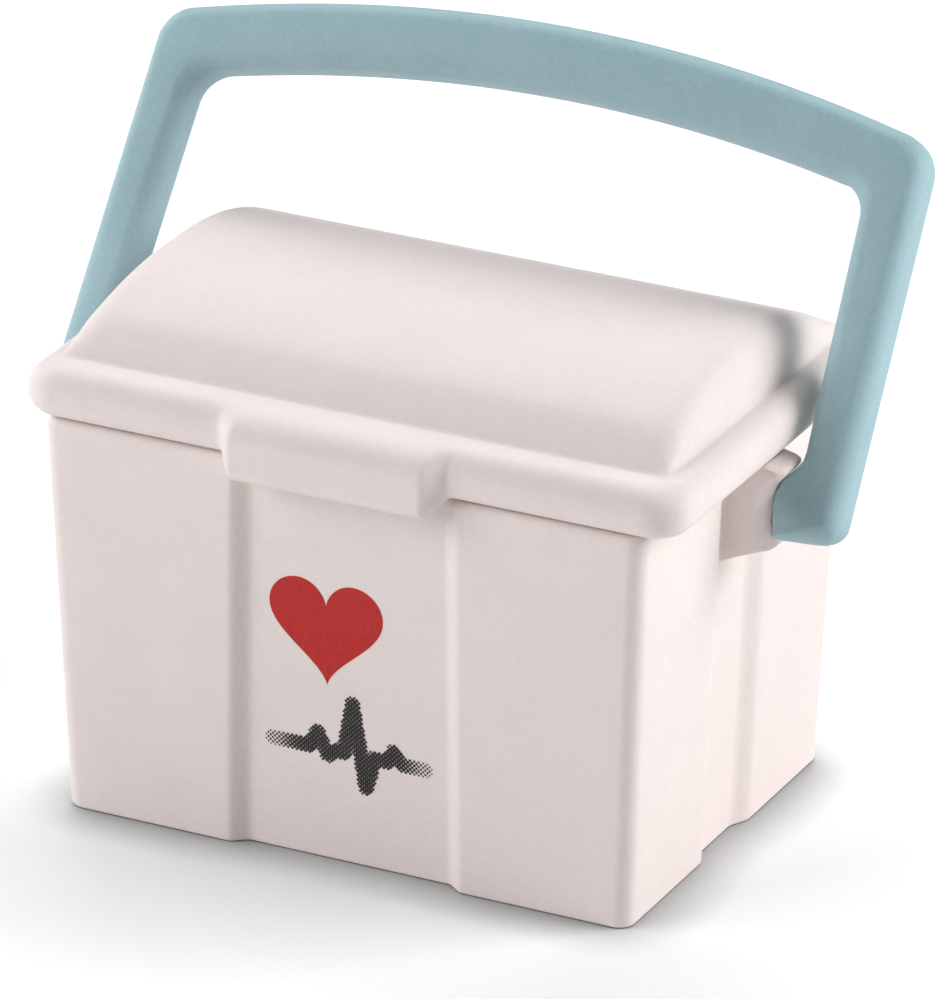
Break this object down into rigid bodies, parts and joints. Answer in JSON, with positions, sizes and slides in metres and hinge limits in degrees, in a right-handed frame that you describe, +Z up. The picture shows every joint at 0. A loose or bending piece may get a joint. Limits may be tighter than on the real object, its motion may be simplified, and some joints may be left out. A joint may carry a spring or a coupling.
{
  "type": "toy doctor case",
  "caption": "Toy doctor's case for a figurine: white moulded box with a hinged domed lid, a front latch tab and a blue bail handle that swings.",
  "frame": {"origin": "on the flat underside of the case body, below the middle of its walls", "axes": "+X to the case's right seen from the front, +Y to the back where the hinge is, +Z up"},
  "size_m": [0.0383, 0.0246, 0.0326],
  "materials": {
    "white_plastic": "matte, very fine grain",
    "light_blue_plastic": "matte, very fine grain",
    "steel_wire": "drawn wire"
  },
  "bodies": {
    "case": {"case_body": "white_plastic", "hinge_pin": "steel_wire"},
    "lid": {"lid": "white_plastic"},
    "handle": {"handle": "light_blue_plastic"}
  },
  "joints": [
    {"name": "lid_hinge", "type": "hinge", "parent": "case", "child": "lid", "pos_m": [0, 0.01175, 0.01875], "axis": [-1, 0, 0], "range_deg": [0, 40]},
    {"name": "handle_pivot", "type": "hinge", "parent": "case", "child": "handle", "pos_m": [0, -0.0002, 0.0162], "axis": [1, 0, 0], "range_deg": [-85, 155]}
  ]
}
